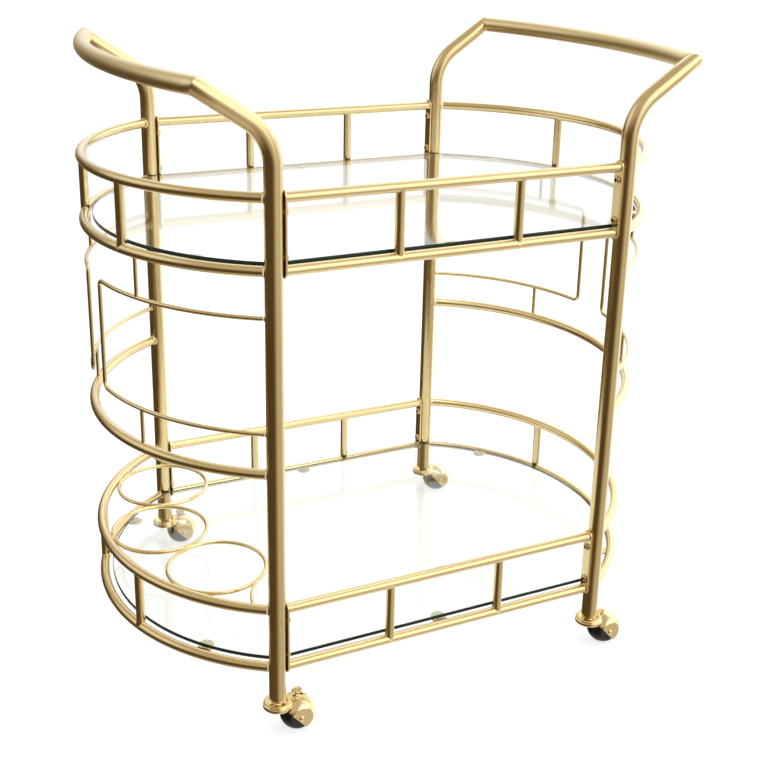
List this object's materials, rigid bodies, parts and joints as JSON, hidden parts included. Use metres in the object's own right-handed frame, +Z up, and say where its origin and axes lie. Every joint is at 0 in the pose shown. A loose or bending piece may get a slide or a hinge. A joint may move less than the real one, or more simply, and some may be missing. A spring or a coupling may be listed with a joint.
{
  "type": "bar cart",
  "caption": "Two-tier rolling bar cart with rounded ends, glass shelves in a tubular metal frame, bottle rings, push handles and swivelling ball casters.",
  "frame": {"origin": "on the floor, midway between the four corner posts, which is the middle of the bounding box's base", "axes": "+Z up, +X to the end without bottle rings, +Y to the back; the two straight sides face -Y and +Y"},
  "size_m": [0.7929, 0.5572, 0.843],
  "materials": {
    "frame_gold": "satin champagne gold",
    "handle_gold": "matt champagne gold",
    "bolt_gold": "satin",
    "caster_brass": "polished",
    "wheel_black": "semi-gloss",
    "shelf_glass": "clear, polished edge",
    "clear_pads": "clear",
    "insert_steel": "machined"
  },
  "bodies": {
    "frame": {"back_bottle_ring": "frame_gold", "back_bottom_guard_rail": "frame_gold", "back_bottom_shelf_rail": "frame_gold", "back_left_post": "frame_gold", "back_right_post": "frame_gold", "back_top_guard_rail": "frame_gold", "back_top_shelf_rail": "frame_gold", "bottle_ring_links": "frame_gold", "bottom_glass_lugs": "frame_gold", "bottom_glass_shelf": "shelf_glass", "caster_stems": "caster_brass", "foot_inserts": "insert_steel", "front_bottle_ring": "frame_gold", "front_bottom_guard_rail": "frame_gold", "front_bottom_shelf_rail": "frame_gold", "front_left_post": "frame_gold", "front_right_post": "frame_gold", "front_top_guard_rail": "frame_gold", "front_top_shelf_rail": "frame_gold", "glass_pads": "clear_pads", "left_back_wire_loop": "frame_gold", "left_bottom_guard_rail": "frame_gold", "left_bottom_shelf_rail": "frame_gold", "left_end_spindles": "frame_gold", "left_front_wire_loop": "frame_gold", "left_handle_grip": "handle_gold", "left_middle_rail": "frame_gold", "left_top_guard_rail": "frame_gold", "left_top_shelf_rail": "frame_gold", "middle_bottle_ring": "frame_gold", "panel_bolts": "bolt_gold", "panel_brackets": "frame_gold", "panel_spindles": "frame_gold", "right_back_wire_loop": "frame_gold", "right_bottom_guard_rail": "frame_gold", "right_bottom_shelf_rail": "frame_gold", "right_end_spindles": "frame_gold", "right_front_wire_loop": "frame_gold", "right_handle_grip": "handle_gold", "right_middle_rail": "frame_gold", "right_top_guard_rail": "frame_gold", "right_top_shelf_rail": "frame_gold", "stem_nuts": "caster_brass", "top_glass_lugs": "frame_gold", "top_glass_shelf": "shelf_glass"},
    "front_left_caster": {"front_left_caster_hood": "caster_brass", "front_left_caster_axle": "caster_brass"},
    "front_left_wheel": {"front_left_caster_wheel": "wheel_black"},
    "front_left_brake": {"front_left_brake_lever": "caster_brass"},
    "back_left_caster": {"back_left_caster_hood": "caster_brass", "back_left_caster_axle": "caster_brass"},
    "back_left_wheel": {"back_left_caster_wheel": "wheel_black"},
    "back_left_brake": {"back_left_brake_lever": "caster_brass"},
    "front_right_caster": {"front_right_caster_hood": "caster_brass", "front_right_caster_axle": "caster_brass"},
    "front_right_wheel": {"front_right_caster_wheel": "wheel_black"},
    "back_right_caster": {"back_right_caster_hood": "caster_brass", "back_right_caster_axle": "caster_brass"},
    "back_right_wheel": {"back_right_caster_wheel": "wheel_black"}
  },
  "joints": [
    {"name": "front_left_swivel", "type": "hinge", "parent": "frame", "child": "front_left_caster", "pos_m": [-0.24, -0.258, 0.045], "axis": [0, 0, 1], "continuous": true},
    {"name": "front_left_wheel_spin", "type": "hinge", "parent": "front_left_caster", "child": "front_left_wheel", "pos_m": [-0.214, -0.258, 0.0225], "axis": [0, 1, 0], "continuous": true},
    {"name": "front_left_brake_press", "type": "hinge", "parent": "front_left_caster", "child": "front_left_brake", "pos_m": [-0.214, -0.258, 0.04911], "axis": [0, 1, 0], "range_deg": [0, 10]},
    {"name": "back_left_swivel", "type": "hinge", "parent": "frame", "child": "back_left_caster", "pos_m": [-0.24, 0.258, 0.045], "axis": [0, 0, 1], "continuous": true},
    {"name": "back_left_wheel_spin", "type": "hinge", "parent": "back_left_caster", "child": "back_left_wheel", "pos_m": [-0.214, 0.258, 0.0225], "axis": [0, 1, 0], "continuous": true},
    {"name": "back_left_brake_press", "type": "hinge", "parent": "back_left_caster", "child": "back_left_brake", "pos_m": [-0.214, 0.258, 0.04911], "axis": [0, 1, 0], "range_deg": [0, 10]},
    {"name": "front_right_swivel", "type": "hinge", "parent": "frame", "child": "front_right_caster", "pos_m": [0.24, -0.258, 0.045], "axis": [0, 0, 1], "continuous": true},
    {"name": "front_right_wheel_spin", "type": "hinge", "parent": "front_right_caster", "child": "front_right_wheel", "pos_m": [0.266, -0.258, 0.0225], "axis": [0, 1, 0], "continuous": true},
    {"name": "back_right_swivel", "type": "hinge", "parent": "frame", "child": "back_right_caster", "pos_m": [0.24, 0.258, 0.045], "axis": [0, 0, 1], "continuous": true},
    {"name": "back_right_wheel_spin", "type": "hinge", "parent": "back_right_caster", "child": "back_right_wheel", "pos_m": [0.266, 0.258, 0.0225], "axis": [0, 1, 0], "continuous": true}
  ]
}
